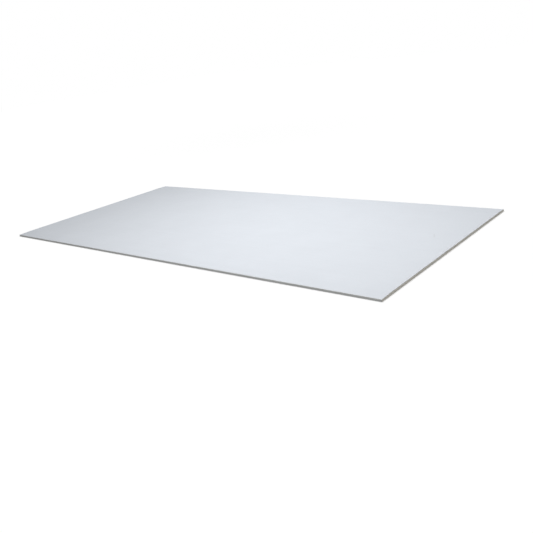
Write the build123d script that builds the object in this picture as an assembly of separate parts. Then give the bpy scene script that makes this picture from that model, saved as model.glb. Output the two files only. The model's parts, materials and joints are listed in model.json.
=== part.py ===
"""Drywall sheet with tapered long edges, lying on its back with the finish face up.

Millimetres. +X runs along the sheet, +Y across it and +Z out of the finish face.
The origin is the centre of the back face.
"""

from build123d import *

import os
from math import atan2, tan

# Driving dimensions of the sheet
sheet_length = 2500.0  # between the two sawn ends
sheet_width = 1200.0  # between the two paper-bound long edges
sheet_thickness = 12.5  # over the whole field, and so at the sawn ends

# Long edges: the face slopes down to them, to leave room for joint tape and filler
taper_width = 60.0  # band of the face that slopes
taper_depth = 2.0  # how far the face has dropped at the edge
shoulder_reach = 8.0  # how far the soft bend between field and taper runs to either side
face_fold_radius = 2.0  # the paper's fold from the face onto the long edge
back_fold_radius = 1.5  # the paper's fold from the long edge onto the back

# Worked out from the driving dimensions
half_width = sheet_width / 2
edge_height = sheet_thickness - taper_depth
shoulder_place = half_width - taper_width
taper_slope = atan2(taper_depth, taper_width)
shoulder_radius = shoulder_reach / tan(taper_slope / 2)


def corners_at_height(section, height):
    """The section's two corners that lie nearest to a height."""
    return section.vertices().sort_by(lambda corner: abs(corner.Z - height))[:2]


def sheet_section():
    """The sheet's cross-section: flat back, upright long edges and a face that tapers to them."""
    outline = Polyline(
        (-half_width, 0),
        (half_width, 0),
        (half_width, edge_height),
        (shoulder_place, sheet_thickness),
        (-shoulder_place, sheet_thickness),
        (-half_width, edge_height),
        close=True,
    )
    section = Plane.YZ * make_face(outline)
    section = fillet(corners_at_height(section, edge_height), face_fold_radius)
    section = fillet(corners_at_height(section, 0), back_fold_radius)
    return fillet(corners_at_height(section, sheet_thickness), shoulder_radius)


def drywall_sheet():
    """The whole sheet, the section drawn out to half its length each way."""
    return extrude(sheet_section(), amount=sheet_length / 2, both=True)


os.makedirs("parts", exist_ok=True)
export_step(drywall_sheet(), "parts/drywall_sheet.step")
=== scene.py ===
"""Looks of a drywall sheet that lies on its back.

Its face and long edges are papered, its ends show the sawn gypsum core, and its back has a grey-brown liner.
Metres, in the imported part's frame: +X along the sheet, +Y across it and +Z out of the finish face.
"""

import json
from functools import reduce
from math import atan, ceil, cos, dist, radians, sin, tan
from random import Random

import bpy
from mathutils import Matrix, Vector, noise
from mathutils.geometry import delaunay_2d_cdt


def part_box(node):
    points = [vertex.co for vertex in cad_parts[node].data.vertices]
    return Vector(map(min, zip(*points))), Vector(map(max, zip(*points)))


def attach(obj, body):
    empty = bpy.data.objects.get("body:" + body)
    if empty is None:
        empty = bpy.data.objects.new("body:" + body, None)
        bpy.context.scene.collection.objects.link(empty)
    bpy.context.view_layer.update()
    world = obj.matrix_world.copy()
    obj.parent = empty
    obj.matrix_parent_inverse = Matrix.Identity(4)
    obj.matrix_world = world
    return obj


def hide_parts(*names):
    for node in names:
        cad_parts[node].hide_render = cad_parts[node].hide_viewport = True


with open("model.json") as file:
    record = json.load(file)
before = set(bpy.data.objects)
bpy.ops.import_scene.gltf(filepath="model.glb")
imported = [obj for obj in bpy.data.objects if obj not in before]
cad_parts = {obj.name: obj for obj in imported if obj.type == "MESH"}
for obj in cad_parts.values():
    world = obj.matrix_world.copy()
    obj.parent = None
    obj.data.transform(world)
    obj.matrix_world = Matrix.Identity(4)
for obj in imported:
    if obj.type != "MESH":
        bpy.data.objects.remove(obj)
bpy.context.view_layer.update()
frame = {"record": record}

# The sheet, as the frame has it
sheet_low, sheet_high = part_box("drywall_sheet")
sheet_size = sheet_high - sheet_low
half_length = sheet_size.x / 2
half_width = sheet_size.y / 2
thickness = sheet_size.z

# Long edges, as in the solid
taper_width = 0.060
taper_depth = 0.002
shoulder_reach = 0.008
face_fold_radius = 0.0020
back_fold_radius = 0.0015

# Paper, as fine relief on the solid's shape
paper_thickness = 0.0004
flap_width = 0.024  # face paper that is folded onto the back and shows beside the liner
flap_depth = 0.0003  # how far the liner stands over that flap
fold_soft_end = 0.0004  # from the edge, where the folded paper's tone is reached
lap_step = 0.0003  # width of the liner's cut side
lap_wander = 0.0012  # how far the liner's side strays from a straight line
lap_wander_reach = 0.012  # how far from the lap the back follows it
lap_wander_length = 0.35
paper_dip = 0.00014  # deepest hollow of the slightly uneven paper
paper_dip_length = 0.28

# Sawn ends
saw_stray = 0.00035  # how ragged the sawn paper is
saw_stray_length = 0.009
saw_press = 0.00022  # how far the saw has pressed the paper's rim in
saw_press_reach = 0.0022
core_inset = 0.00052  # from the paper's outside to where the core shows
core_recess = 0.00025  # how far the core wears back behind the sawn paper
core_grain = 0.00030
core_grain_length = 0.0062
core_pit_depth = 0.0016
core_pit_length = 0.0048
core_pit_start_share = 0.26  # of the pits' pattern, above which the core is pitted

# Mesh: its spacings, its steps and the scatter of the core
field_spacing = 0.024  # across the flat of the face and of the back
taper_spacing = 0.010
flap_spacing = 0.008
edge_spacing = 0.0024  # up the flat of a long edge
cut_spacing = 0.0018  # round a sawn end, and over its core
fold_steps = 6
shoulder_steps = 6
station_spacing = 0.045
end_stations = (0.010, 0.024)  # distances from a sawn end
core_jitter_share = 0.32  # of the spacing, by which the places of the core are scattered
core_weld_share = 0.001  # of the spacing, within which two places of the core count as one
core_seed = 7
sharp_angle = radians(32)  # an edge that turns by more stays crisp
inside_border = 1  # the triangulation's code for keeping only what lies inside its border

# Worked out from the values above
taper_slope = atan(taper_depth / taper_width)
edge_height = thickness - taper_depth
shoulder_place = half_width - taper_width
shoulder_radius = shoulder_reach / tan(taper_slope / 2)
face_fold_height = edge_height + face_fold_radius * (tan(taper_slope) - 1 / cos(taper_slope))
quarter_turn = radians(90)


def spread(start, end, steps):
    """Evenly spaced values from start to end, both included."""
    return [start + (end - start) * i / steps for i in range(steps + 1)]


def straight(start, end, spacing):
    """Places on a straight run of the section, both ends included, no further apart than the spacing."""
    steps = max(1, ceil(dist(start, end) / spacing))
    return list(zip(*(spread(a, b, steps) for a, b in zip(start, end))))


def arc(centre, radius, start, end, steps):
    """Places on an arc of the section, by the angle from +Y towards +Z."""
    turns = spread(start, end, steps)
    return [(centre[0] + radius * cos(turn), centre[1] + radius * sin(turn)) for turn in turns]


def section_half():
    """The +Y half of the section: back, lap, flap, fold, long edge, fold, taper, shoulder and field."""
    lap = half_width - flap_width
    back_fold = (half_width - back_fold_radius, flap_depth + back_fold_radius)
    face_fold = (half_width - face_fold_radius, face_fold_height)
    shoulder = (shoulder_place - shoulder_reach, thickness - shoulder_radius)
    taper_turn = quarter_turn - taper_slope
    low_fold = arc(back_fold, back_fold_radius, -quarter_turn, 0.0, fold_steps)
    high_fold = arc(face_fold, face_fold_radius, 0.0, taper_turn, fold_steps)
    bend = arc(shoulder, shoulder_radius, taper_turn, quarter_turn, shoulder_steps)
    runs = [
        straight((0.0, 0.0), (lap - lap_step, 0.0), field_spacing),
        straight((lap, flap_depth), low_fold[0], flap_spacing),
        low_fold,
        straight(low_fold[-1], high_fold[0], edge_spacing),
        high_fold,
        straight(high_fold[-1], bend[0], taper_spacing),
        bend,
        straight(bend[-1], (0.0, thickness), field_spacing),
    ]
    half = []
    for run in runs:
        # Two runs share the place where they meet, except across the step of the lap
        half += run[1:] if half and dist(half[-1], run[0]) < lap_step / 2 else run
    return half


def section_outline():
    """The section once round, counter-clockwise as seen from +X, from the middle of the back."""
    half = section_half()
    return half + [(-y, z) for y, z in reversed(half[1:-1])]


def outward(outline):
    """Outward unit normals of an outline that runs counter-clockwise."""
    normals = []
    for before, after in zip(outline[-1:] + outline[:-1], outline[1:] + outline[:1]):
        size = dist(before, after)
        normals.append(((after[1] - before[1]) / size, (before[0] - after[0]) / size))
    return normals


def zone_of(start, end):
    """The zone of the skin between two neighbouring places of the section."""
    y, z = (start[0] + end[0]) / 2, (start[1] + end[1]) / 2
    steep = abs(end[1] - start[1]) > abs(end[0] - start[0])
    if steep and abs(y) > half_width - face_fold_radius:
        return "rear_edge" if y > 0 else "front_edge"
    if z > edge_height / 2:
        return "face"
    return "liner" if abs(y) < half_width - flap_width else "flap"


def segment_zones(outline):
    """The zone of each segment of an outline."""
    return [zone_of(start, end) for start, end in zip(outline, outline[1:] + outline[:1])]


def noise_share(place, length):
    """Smooth noise from 0 to 1, with features about as long as given."""
    return 0.5 + 0.5 * max(-1.0, min(1.0, noise.noise(Vector(place) / length)))


def lap_shift(x, y):
    """How far the liner's side has strayed here, less with distance from the lap."""
    away = abs(abs(y) - (half_width - flap_width)) / lap_wander_reach
    side = 1.0 if y > 0 else -1.0
    stray = lap_wander * (2 * noise_share((x, side, 0.0), lap_wander_length) - 1)
    return stray * max(0.0, 1 - away)


def core_depth(x, y, z):
    """How far the sawn core lies behind the paper: worn back, grainy and pitted by air bubbles."""
    grain = core_grain * noise_share((x, y, z), core_grain_length)
    pit = max(0.0, noise.noise(Vector((x, y, z)) / core_pit_length) - core_pit_start_share)
    return core_recess + grain + core_pit_depth * pit


def stations():
    """Places along the sheet at which the plain section is drawn."""
    inner = half_length - end_stations[-1]
    ends = [half_length - gap for gap in end_stations[:-1]]
    return [-x for x in ends] + spread(-inner, inner, round(2 * inner / station_spacing)) + ends[::-1]


class SheetMesh:
    """The sheet as one closed skin, each of whose faces has a zone of the surface."""

    def __init__(self):
        self.places = []
        self.faces = []
        self.zones = []
        self.plain = section_outline()
        self.fine = []
        self.fine_starts = []
        self.split_finely()
        rings = [self.ring(x, self.plain) for x in stations()]
        for ring, after in zip(rings, rings[1:]):
            self.band(ring, after, segment_zones(self.plain), 1)
        self.sawn_end(rings[0], -1)
        self.sawn_end(rings[-1], 1)

    def split_finely(self):
        """The outline again, with more places for the sawn ends, and where each plain place is in it."""
        for start, end in zip(self.plain, self.plain[1:] + self.plain[:1]):
            self.fine_starts.append(len(self.fine))
            self.fine += straight(start, end, cut_spacing)[:-1]

    def add_place(self, x, y, z):
        """A new place on the skin, and its number."""
        self.places.append((x, y, z))
        return len(self.places) - 1

    def add_face(self, corners, zone, side):
        """A face, its corners in the order that they have at the +X end, turned round for the -X end."""
        self.faces.append(tuple(corners) if side > 0 else tuple(reversed(corners)))
        self.zones.append(zone)

    def ring(self, x, outline, sawn=False):
        """An outline at one place along the sheet, with the paper's slight unevenness."""
        made = []
        side = 1 if x > 0 else -1
        for (y, z), (ny, nz) in zip(outline, outward(outline)):
            dip = paper_dip * noise_share((x, y, z), paper_dip_length)
            stray = 0.0
            if sawn:
                ragged = noise_share((x, y, z), saw_stray_length)
                dip += saw_press * ragged
                stray = saw_stray * ragged
            shift = lap_shift(x, y) if z <= flap_depth else 0.0
            made.append(self.add_place(x - side * stray, y + shift - dip * ny, z - dip * nz))
        return made

    def band(self, ring, after, zones, side):
        """Four-sided faces between two rings of the same count."""
        for i, zone in enumerate(zones):
            j = (i + 1) % len(zones)
            self.add_face((ring[i], ring[j], after[j], after[i]), zone, side)

    def join(self, ring, fine_ring, side):
        """Faces between a plain ring and a fine one, each with all the fine places of its segment."""
        starts = self.fine_starts + [len(fine_ring)]
        closed = fine_ring + fine_ring[:1]
        for i, zone in enumerate(segment_zones(self.plain)):
            fine_run = closed[starts[i]:starts[i + 1] + 1]
            self.add_face([ring[i], ring[(i + 1) % len(ring)]] + fine_run[::-1], zone, side)

    def inset_ring(self, ring, inset, side, depth_at):
        """A ring inside a sawn end: the outline drawn in by inset, and sunk by the depth at each place."""
        made = []
        for corner, (ny, nz), (flat_y, flat_z) in zip(ring, outward(self.fine), self.fine):
            x, y, z = self.places[corner]
            # On the back the ring keeps one height, also across the step of the lap
            on_back = flat_z <= flap_depth and abs(flat_y) < half_width - back_fold_radius
            y, z = (y, flap_depth + inset) if on_back else (y - inset * ny, z - inset * nz)
            made.append(self.add_place(x - side * depth_at(x, y, z), y, z))
        return made

    def sawn_end(self, plain_ring, side):
        """A sawn end: finer skin, the pressed and cut rim of the paper, a step down, and the core."""
        zones = segment_zones(self.fine)
        inner = self.ring(side * (half_length - saw_press_reach), self.fine)
        outer = self.ring(side * half_length, self.fine, sawn=True)
        rim = self.inset_ring(outer, paper_thickness, side, lambda x, y, z: 0.0)
        lip = self.inset_ring(outer, core_inset, side, core_depth)
        self.join(plain_ring, inner, side)
        self.band(inner, outer, zones, side)
        self.band(outer, rim, ["rim"] * len(zones), side)
        self.band(rim, lip, ["core"] * len(zones), side)
        self.core(lip, side)

    def core(self, lip, side):
        """The core inside its lip, as triangles over scattered places."""
        flat = [Vector(self.places[corner][1:]) for corner in lip]
        corners = list(lip)
        x = side * half_length
        for y, z in scattered_core():
            flat.append(Vector((y, z)))
            corners.append(self.add_place(x - side * core_depth(x, y, z), y, z))
        border = [list(range(len(lip)))]
        weld = core_weld_share * cut_spacing
        _, _, triangles, origins, _, _ = delaunay_2d_cdt(flat, [], border, inside_border, weld)
        for triangle in triangles:
            self.add_face([corners[origins[i][0]] for i in triangle], "core", side)


def scattered_core():
    """Places over the section of the core, in slightly scattered rows that follow the taper."""
    chance = Random(core_seed)
    jitter = core_jitter_share * cut_spacing
    low = flap_depth + core_inset
    top = thickness - core_inset - paper_dip - saw_press
    reach = half_width - face_fold_radius - core_inset
    rows = round((top - low) / cut_spacing)
    places = []
    for y in spread(-reach, reach, round(2 * reach / cut_spacing)):
        high = top - max(0.0, abs(y) - shoulder_place) * tan(taper_slope)
        for row in range(rows):
            z = low + (high - low) * (row + 0.5) / rows
            places.append((y + chance.uniform(-jitter, jitter), z + chance.uniform(-jitter, jitter)))
    return places


# Zones of the surface, and their materials
zone_materials = {
    "face": "face_paper",
    "rear_edge": "face_paper",
    "front_edge": "face_paper",
    "flap": "face_paper",
    "liner": "back_liner",
    "rim": "cut_paper",
    "core": "gypsum_core",
}

# The texture map: the axes that lay each side of the sheet flat, the number of strips that it is cut into,
# and each strip's height as a share of the map
map_shares = {
    "face": ("xy", 1, 0.460),
    "back": ("xy", 1, 0.224),
    "front_edge": ("xz", 1, 0.028),
    "rear_edge": ("xz", 1, 0.028),
    "left_end": ("yz", 3, 0.030),
    "right_end": ("yz", 3, 0.030),
}
map_gap_share = 0.008  # left free between two strips
map_margin_share = 0.006  # left free at the strips' ends


def strip_starts():
    """The lower end of each side's first strip, stacked from the bottom of the map upwards."""
    starts = {}
    low = map_gap_share / 2
    for side, (_, strips, height) in map_shares.items():
        starts[side] = low
        low += strips * (height + map_gap_share)
    return starts


def side_of(zone, place):
    """The side of the sheet that a face of this zone lies on."""
    if zone in ("flap", "liner"):
        return "back"
    if zone in ("rim", "core"):
        return "right_end" if place.x > 0 else "left_end"
    return zone


def lay_out_map(mesh, zones):
    """A texture map that gives the thin edges and ends as many pixels as they need."""
    layer = mesh.uv_layers.new(name="OFBake")
    starts = strip_starts()
    for face, zone in zip(mesh.polygons, zones):
        side = side_of(zone, face.center)
        axes, strips, height = map_shares[side]
        across, up = ("xyz".index(axis) for axis in axes)
        strip = int(strips * (face.center - sheet_low)[across] / sheet_size[across])
        low = starts[side] + strip * (height + map_gap_share)
        for loop in face.loop_indices:
            place = mesh.vertices[mesh.loops[loop].vertex_index].co - sheet_low
            u = strips * place[across] / sheet_size[across] - strip
            v = place[up] / sheet_size[up]
            layer.uv[loop].vector = (map_margin_share + (1 - 2 * map_margin_share) * u, low + height * v)


def make_sheet(materials):
    """The dressed sheet, which stands for the solid."""
    built = SheetMesh()
    mesh = bpy.data.meshes.new("drywall_board")
    mesh.from_pydata(built.places, [], built.faces)
    names = list(materials)
    for name in names:
        mesh.materials.append(materials[name])
    for face, zone in zip(mesh.polygons, built.zones):
        face.material_index = names.index(zone_materials[zone])
        face.use_smooth = True
    mesh.set_sharp_from_angle(angle=sharp_angle)
    lay_out_map(mesh, built.zones)
    mesh.validate()
    sheet = bpy.data.objects.new("drywall_board", mesh)
    bpy.context.scene.collection.objects.link(sheet)
    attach(sheet, "root")
    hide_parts("drywall_sheet")


# Noise in the materials
noise_low = 0.28  # nearly all of it lies between these two values
noise_high = 0.72
noise_roughness = 0.55  # of its finer detail, where a pattern gives none


def add(tree, kind, inputs=None, **settings):
    """A new node, with its settings, and with each input set to a number or fed from a socket."""
    made = tree.nodes.new(kind)
    for name, value in settings.items():
        setattr(made, name, value)
    for name, value in (inputs or {}).items():
        if isinstance(value, bpy.types.NodeSocket):
            tree.links.new(value, made.inputs[name])
        else:
            made.inputs[name].default_value = value
    return made


def maths(tree, operation, first, second=0.0):
    """One operation on two numbers or sockets, or on one where it needs no second."""
    return add(tree, "ShaderNodeMath", {0: first, 1: second}, operation=operation).outputs[0]


def vectors(tree, operation, first, second, output="Vector"):
    """One operation on two places or directions."""
    return add(tree, "ShaderNodeVectorMath", {0: first, 1: second}, operation=operation).outputs[output]


def ranged(tree, value, low, high, to_low, to_high, smooth=False):
    """A value's range carried over to another range, and held at its ends."""
    kind = "SMOOTHSTEP" if smooth else "LINEAR"
    inputs = {"Value": value, "From Min": low, "From Max": high, "To Min": to_low, "To Max": to_high}
    return add(tree, "ShaderNodeMapRange", inputs, interpolation_type=kind).outputs["Result"]


def stretched(tree, place, scale):
    """A place with its axes scaled, for patterns that run along one of them."""
    return vectors(tree, "MULTIPLY", place, scale)


def cloud(tree, place, per_metre, detail, low, high, roughness=noise_roughness):
    """Noise with so many features to a metre, spread between two values."""
    inputs = {"Vector": place, "Scale": per_metre, "Detail": detail, "Roughness": roughness}
    pattern = add(tree, "ShaderNodeTexNoise", inputs).outputs["Fac"]
    return ranged(tree, pattern, noise_low, noise_high, low, high)


def swing(tree, place, per_metre, detail, share, roughness=noise_roughness):
    """A tone that swings about 1 by a share, as noise with so many features to a metre."""
    return cloud(tree, place, per_metre, detail, 1 - share, 1 + share, roughness)


def product(tree, *values):
    """The product of several numbers or sockets."""
    return reduce(lambda total, value: maths(tree, "MULTIPLY", total, value), values)


def flecks(tree, place, per_metre, size_share, kept_share):
    """A mask of flecks: so many cells to a metre, some of which hold one, of any size up to a share."""
    cells = add(tree, "ShaderNodeTexVoronoi", {"Vector": place, "Scale": per_metre, "Randomness": 1.0})
    chances = add(tree, "ShaderNodeSeparateColor", {"Color": cells.outputs["Color"]}).outputs
    kept = maths(tree, "LESS_THAN", chances["Red"], kept_share)
    size = product(tree, chances["Green"], kept, size_share)
    return ranged(tree, cells.outputs["Distance"], 0.0, size, 1.0, 0.0, smooth=True)


def toned(tree, colour, factor):
    """A colour made lighter or darker by a factor."""
    return add(tree, "ShaderNodeVectorMath", {0: colour, "Scale": factor}, operation="SCALE").outputs[0]


def colour_socket(sockets, name):
    """The colour socket of that name, which a mix node has beside others of the same name."""
    return next(socket for socket in sockets if socket.name == name and socket.type == "RGBA")


def mixed(tree, factor, first, second):
    """Two colours mixed by a factor."""
    mix = add(tree, "ShaderNodeMix", {"Factor": factor}, data_type="RGBA")
    for name, colour in (("A", first), ("B", second)):
        socket = colour_socket(mix.inputs, name)
        if isinstance(colour, bpy.types.NodeSocket):
            tree.links.new(colour, socket)
        else:
            socket.default_value = (*colour, 1.0)
    return colour_socket(mix.outputs, "Result")


def new_material(name):
    """A new node material, its nodes, its shader and the place on the sheet that its patterns read."""
    material = bpy.data.materials.new(name)
    material.use_nodes = True
    tree = material.node_tree
    shader = tree.nodes["Principled BSDF"]
    place = add(tree, "ShaderNodeTexCoord").outputs["Object"]
    return material, tree, shader, place


def dress(tree, shader, colour, roughness, height, relief, strength, specular):
    """Feeds a shader with a colour, a roughness and a bump, whose relief is in metres."""
    bump = add(tree, "ShaderNodeBump", {"Height": height, "Distance": relief, "Strength": strength})
    tree.links.new(colour, shader.inputs["Base Color"])
    tree.links.new(roughness, shader.inputs["Roughness"])
    tree.links.new(bump.outputs["Normal"], shader.inputs["Normal"])
    shader.inputs["Specular IOR Level"].default_value = specular


# Colours, in linear light
slot_colours = {slot["slot"]: tuple(slot["base_color"][:3]) for slot in frame["record"]["materials"]}
face_colour = slot_colours["face_paper"]
edge_paper_shade_colour = (0.765, 0.775, 0.760)  # the same paper where it is folded onto the edges, painted warmer and less blue as the warm shade and bounced light there
face_fleck_colour = (0.56, 0.56, 0.56)
faint_mark_colour = (0.60, 0.61, 0.63)
core_colour = (0.88, 0.85, 0.775)
# The colour of the pores and bubbles: painted shade in the pits, not a darker gypsum
core_pit_shade_colour = (0.68, 0.65, 0.585)
liner_colour = (0.40, 0.355, 0.29)
liner_fleck_colour = (0.20, 0.175, 0.145)
liner_light_fibre_colour = (0.58, 0.54, 0.47)
cut_paper_colour = (0.47, 0.44, 0.38)

# The one faint darker mark on the face
faint_mark_place = (1.1130, 0.1150, 0.0)
faint_mark_turn = radians(25)  # of its length, from straight across the sheet
faint_mark_size = (0.0045, 0.026, 1.0)  # half its breadth and half its length; the height plays no part
faint_mark_unevenness = {"per_metre": 160.0, "detail": 3.0, "low": -0.35, "high": 0.35}
faint_mark_full_share = 0.3  # of its size, from its middle to where it starts to fade
faint_mark_gone_share = 1.5  # of its size, from its middle to where it has gone
faint_mark_strength_share = 0.32


def faint_mark_mask(tree, place):
    """A slim soft oval on the face, uneven at its rim."""
    turn = {"Vector": vectors(tree, "SUBTRACT", place, faint_mark_place), "Angle": -faint_mark_turn}
    turned = add(tree, "ShaderNodeVectorRotate", turn, rotation_type="Z_AXIS").outputs[0]
    sized = vectors(tree, "DIVIDE", turned, faint_mark_size)
    reach = add(tree, "ShaderNodeVectorMath", {0: sized}, operation="LENGTH").outputs["Value"]
    uneven = maths(tree, "ADD", reach, cloud(tree, place, **faint_mark_unevenness))
    return ranged(tree, uneven, faint_mark_full_share, faint_mark_gone_share, faint_mark_strength_share, 0.0, smooth=True)


def folded_mask(tree, place):
    """1 on the long edges and on the flap under them, 0 on the face, soft round the folds: where the paper
    takes its painted warm edge shade.
    """
    axes = add(tree, "ShaderNodeSeparateXYZ", {"Vector": place})
    apart = maths(tree, "ABSOLUTE", axes.outputs["Y"])
    fold_start = half_width - face_fold_radius
    fold_end = half_width - fold_soft_end
    on_edge = ranged(tree, apart, fold_start, fold_end, 0.0, 1.0, smooth=True)
    under = ranged(tree, axes.outputs["Z"], back_fold_radius, 2 * back_fold_radius, 1.0, 0.0, smooth=True)
    return maths(tree, "MAXIMUM", on_edge, under)


# Face paper: smooth, with fibres that run with the sheet
fibre_stretch = (0.25, 1.0, 1.0)
streak_stretch = (0.04, 1.0, 1.0)
face_streaks = {"per_metre": 55.0, "detail": 3.0, "share": 0.006}
face_clouds = {"per_metre": 5.0, "detail": 4.0, "share": 0.012}
face_fibres = {"per_metre": 900.0, "detail": 5.0, "share": 0.035, "roughness": 0.65}
face_flecks = {"per_metre": 150.0, "size_share": 0.20, "kept_share": 0.22}
face_fleck_strength_share = 0.60
face_gloss = {"per_metre": 35.0, "detail": 4.0, "low": 0.80, "high": 0.93}
face_grain = {"per_metre": 700.0, "detail": 5.0, "low": 0.0, "high": 1.0, "roughness": 0.7}
face_relief = {"relief": 0.00012, "strength": 0.35, "specular": 0.30}


def face_paper():
    """Smooth off-white board paper: soft clouds, fibres that run with the sheet, and a few flecks."""
    material, tree, shader, place = new_material("face_paper")
    along = stretched(tree, place, fibre_stretch)
    streaks = swing(tree, stretched(tree, place, streak_stretch), **face_streaks)
    tone = product(tree, streaks, swing(tree, place, **face_clouds), swing(tree, along, **face_fibres))
    # The folded edges and the flap take a warmer, less blue colour: painted shade and bounced light on the
    # same paper as the face
    plain = mixed(tree, folded_mask(tree, place), face_colour, edge_paper_shade_colour)
    fleck_mask = product(tree, flecks(tree, along, **face_flecks), face_fleck_strength_share)
    flecked = mixed(tree, fleck_mask, toned(tree, plain, tone), face_fleck_colour)
    colour = mixed(tree, faint_mark_mask(tree, place), flecked, faint_mark_colour)
    gloss = cloud(tree, place, **face_gloss)
    grain = cloud(tree, along, **face_grain)
    dress(tree, shader, colour, gloss, grain, **face_relief)
    return material


# Gypsum core: chalky and porous, with upright saw marks
saw_stretch = (1.0, 1.0, 0.12)
saw_marks = {"per_metre": 420.0, "detail": 3.0, "share": 0.07}
core_chalk = {"per_metre": 60.0, "detail": 5.0, "share": 0.06}
core_crumbs = {"per_metre": 1500.0, "detail": 4.0, "share": 0.09, "roughness": 0.7}
core_pores = {"per_metre": 1700.0, "size_share": 0.75, "kept_share": 0.55}
core_bubbles = {"per_metre": 520.0, "size_share": 0.50, "kept_share": 0.30}
core_pore_depth_share = 0.6  # of the relief, by which a pore sinks
core_gloss = {"per_metre": 300.0, "detail": 3.0, "low": 0.88, "high": 0.98}
core_relief = {"relief": 0.00045, "strength": 0.8, "specular": 0.25}


def gypsum_core():
    """Sawn gypsum: warm grey, with saw marks across it, and fine pores and a few larger bubbles that the
    bump sinks and painted shade darkens.
    """
    material, tree, shader, place = new_material("gypsum_core")
    marks = swing(tree, stretched(tree, place, saw_stretch), **saw_marks)
    crumbs = swing(tree, place, **core_crumbs)
    tone = product(tree, marks, crumbs, swing(tree, place, **core_chalk))
    pits = maths(tree, "MAXIMUM", flecks(tree, place, **core_pores), flecks(tree, place, **core_bubbles))
    # The pits take a darker colour: painted shade where they sink in
    colour = mixed(tree, pits, toned(tree, core_colour, tone), core_pit_shade_colour)
    pores = product(tree, pits, core_pore_depth_share)
    height = maths(tree, "SUBTRACT", product(tree, marks, crumbs), pores)
    gloss = cloud(tree, place, **core_gloss)
    dress(tree, shader, colour, gloss, height, **core_relief)
    return material


# Back liner: recycled paper, mottled, with dark and light fibres
liner_stretch = (0.22, 1.0, 1.0)
liner_streak_stretch = (0.03, 1.0, 1.0)
liner_streaks = {"per_metre": 40.0, "detail": 3.0, "share": 0.03}
liner_clouds = {"per_metre": 9.0, "detail": 5.0, "share": 0.05}
liner_fibres = {"per_metre": 650.0, "detail": 5.0, "share": 0.13, "roughness": 0.7}
liner_dark_flecks = {"per_metre": 130.0, "size_share": 0.28, "kept_share": 0.40}
liner_light_flecks = {"per_metre": 170.0, "size_share": 0.26, "kept_share": 0.30}
liner_dark_strength_share = 0.75
liner_light_strength_share = 0.65
liner_gloss = {"per_metre": 40.0, "detail": 4.0, "low": 0.84, "high": 0.96}
liner_grain = {"per_metre": 600.0, "detail": 5.0, "low": 0.0, "high": 1.0, "roughness": 0.7}
liner_relief = {"relief": 0.00018, "strength": 0.5, "specular": 0.25}


def back_liner():
    """Grey-brown liner of recycled paper: mottled, with dark and light fibres that run with the sheet."""
    material, tree, shader, place = new_material("back_liner")
    along = stretched(tree, place, liner_stretch)
    streaks = swing(tree, stretched(tree, place, liner_streak_stretch), **liner_streaks)
    tone = product(tree, streaks, swing(tree, place, **liner_clouds), swing(tree, along, **liner_fibres))
    dark = product(tree, flecks(tree, along, **liner_dark_flecks), liner_dark_strength_share)
    light = product(tree, flecks(tree, along, **liner_light_flecks), liner_light_strength_share)
    speckled = mixed(tree, dark, toned(tree, liner_colour, tone), liner_fleck_colour)
    colour = mixed(tree, light, speckled, liner_light_fibre_colour)
    gloss = cloud(tree, place, **liner_gloss)
    grain = cloud(tree, along, **liner_grain)
    dress(tree, shader, colour, gloss, grain, **liner_relief)
    return material


# Cut paper: the sawn rim, fuzzy and uneven
rim_fuzz = {"per_metre": 1100.0, "detail": 4.0, "share": 0.16, "roughness": 0.7}
rim_gloss = {"per_metre": 500.0, "detail": 3.0, "low": 0.88, "high": 0.98}
rim_relief = {"relief": 0.0002, "strength": 0.6, "specular": 0.2}


def cut_paper():
    """The sawn rim of the paper: grey-brown, fuzzy and uneven."""
    material, tree, shader, place = new_material("cut_paper")
    fuzz = swing(tree, place, **rim_fuzz)
    colour = toned(tree, cut_paper_colour, fuzz)
    gloss = cloud(tree, place, **rim_gloss)
    dress(tree, shader, colour, gloss, fuzz, **rim_relief)
    return material


# Floor and backdrop
floor_drop = 0.0002  # under the back, so that the two don't share a plane
floor_half = 14.0  # half the length of its sides
shown_floor_grey = 0.80  # as it is seen, and so how strongly it shows a shadow
lighting_floor_grey = 0.45  # for the light that it throws back onto the sheet
white_seen = 1.0
floor_seen = 1.02  # of the lit floor and its glow together, where nothing shades it
fill_strength = 0.316
fill_lean_shares = (0.34, 0.20, 0.0)  # how much stronger than on average the fill is from +X and +Y

# One long soft lamp overhead, in line with the view
lamp_place = (0.388, -0.041, 2.25)
lamp_length = 3.17
lamp_breadth = 0.45
lamp_turn = radians(131.9)
lamp_watts = 46.8

# The lamp's light on the floor: its peak for each watt, and how far it reaches in the lamp's own axes
lamp_peak_per_watt = 0.01565
lamp_reach_along = 3.05
lamp_reach_across = 2.354
lamp_falloff_power = -2.0

# The photograph's view
camera_place = (2.3565, -2.4285, 0.9429)
camera_aim = (0.5917, -0.4601, 0.0)
camera_roll = radians(-7.52)
camera_lens_mm = 42.90
camera_sensor_mm = 36.0


def seen_directly(tree):
    """1 for rays that show the surroundings: the camera's, and those that gloss or glass sends on."""
    path = add(tree, "ShaderNodeLightPath")
    first = maths(tree, "MAXIMUM", path.outputs["Is Camera Ray"], path.outputs["Is Glossy Ray"])
    return maths(tree, "MAXIMUM", first, path.outputs["Is Transmission Ray"])


def grey(level):
    """A grey as an opaque colour."""
    return (level, level, level, 1.0)


def lamp_falloff(tree):
    """1 on the floor under the lamp, less with distance along and across it."""
    place = add(tree, "ShaderNodeTexCoord").outputs["Object"]
    moved = vectors(tree, "SUBTRACT", place, (*lamp_place[:2], 0.0))
    along = Vector((cos(lamp_turn), sin(lamp_turn), 0.0)) / lamp_reach_along
    across = Vector((-sin(lamp_turn), cos(lamp_turn), 0.0)) / lamp_reach_across
    total = 1.0
    for axis in (along, across):
        away = vectors(tree, "DOT_PRODUCT", moved, axis, "Value")
        total = maths(tree, "ADD", maths(tree, "MULTIPLY", away, away), total)
    return maths(tree, "POWER", total, lamp_falloff_power)


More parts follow.
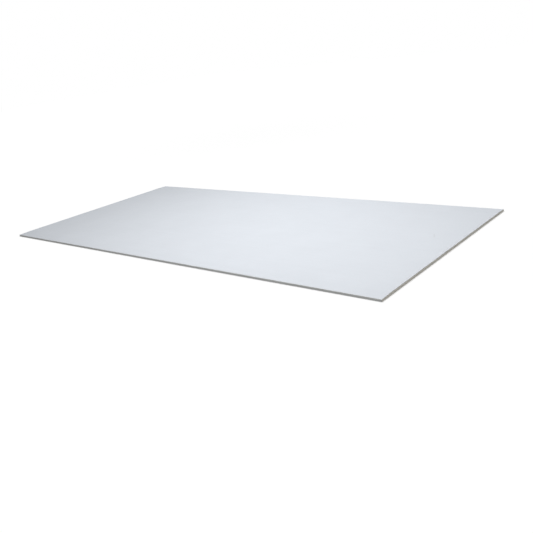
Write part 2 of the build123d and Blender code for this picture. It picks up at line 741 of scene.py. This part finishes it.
def make_floor():
    """A pale floor that reads as white and keeps the sheet's shadow."""
    mesh = bpy.data.meshes.new("floor")
    corners = [(-floor_half, -floor_half), (floor_half, -floor_half)]
    corners += [(floor_half, floor_half), (-floor_half, floor_half)]
    mesh.from_pydata([(x, y, sheet_low.z - floor_drop) for x, y in corners], [], [(0, 1, 2, 3)])
    floor = bpy.data.objects.new("floor", mesh)
    bpy.context.scene.collection.objects.link(floor)
    material = bpy.data.materials.new("floor")
    material.use_nodes = True
    tree = material.node_tree
    tree.nodes.clear()
    # The glow makes up for what the lamp and the fill leave short of white
    lit = maths(tree, "MULTIPLY", lamp_falloff(tree), shown_floor_grey * lamp_peak_per_watt * lamp_watts)
    glow = maths(tree, "SUBTRACT", floor_seen - shown_floor_grey * fill_strength, lit)
    shown = add(tree, "ShaderNodeBsdfDiffuse", {"Color": grey(shown_floor_grey)}).outputs[0]
    glowing = add(tree, "ShaderNodeEmission", {"Strength": glow}).outputs[0]
    seen = add(tree, "ShaderNodeAddShader", {0: shown, 1: glowing}).outputs[0]
    lighting = add(tree, "ShaderNodeBsdfDiffuse", {"Color": grey(lighting_floor_grey)}).outputs[0]
    surface = add(tree, "ShaderNodeMixShader", {0: seen_directly(tree), 1: lighting, 2: seen}).outputs[0]
    add(tree, "ShaderNodeOutputMaterial", {"Surface": surface})
    mesh.materials.append(material)


def make_world():
    """A soft fill light from all round, shown as plain white."""
    world = bpy.data.worlds.new("studio")
    bpy.context.scene.world = world
    world.use_nodes = True
    tree = world.node_tree
    way = add(tree, "ShaderNodeTexCoord").outputs["Generated"]
    lean = vectors(tree, "DOT_PRODUCT", way, fill_lean_shares, "Value")
    fill = maths(tree, "MULTIPLY", maths(tree, "ADD", lean, 1.0), fill_strength)
    strength = ranged(tree, seen_directly(tree), 0.0, 1.0, fill, white_seen)
    background = tree.nodes["Background"]
    background.inputs["Color"].default_value = grey(1.0)
    tree.links.new(strength, background.inputs["Strength"])


def make_lamp():
    """The long soft lamp, which points straight down."""
    lamp = bpy.data.lights.new("strip_lamp", "AREA")
    lamp.shape = "RECTANGLE"
    lamp.size = lamp_length
    lamp.size_y = lamp_breadth
    lamp.energy = lamp_watts
    holder = bpy.data.objects.new("strip_lamp", lamp)
    holder.location = lamp_place
    holder.rotation_euler = (0.0, 0.0, lamp_turn)
    bpy.context.scene.collection.objects.link(holder)


def make_camera():
    """The camera at the photograph's place, aim and roll."""
    data = bpy.data.cameras.new("camera")
    data.sensor_width = camera_sensor_mm
    data.lens = camera_lens_mm
    camera = bpy.data.objects.new("camera", data)
    ahead = Vector(camera_aim) - Vector(camera_place)
    upright = ahead.to_track_quat("-Z", "Y").to_matrix()
    rolled = upright @ Matrix.Rotation(camera_roll, 3, "Z")
    camera.matrix_world = Matrix.Translation(camera_place) @ rolled.to_4x4()
    bpy.context.scene.collection.objects.link(camera)
    bpy.context.scene.camera = camera


sheet_materials = {
    "face_paper": face_paper(),
    "back_liner": back_liner(),
    "gypsum_core": gypsum_core(),
    "cut_paper": cut_paper(),
}
make_sheet(sheet_materials)
make_floor()
make_world()
make_lamp()
make_camera()
bpy.context.scene.view_settings.view_transform = "Standard"
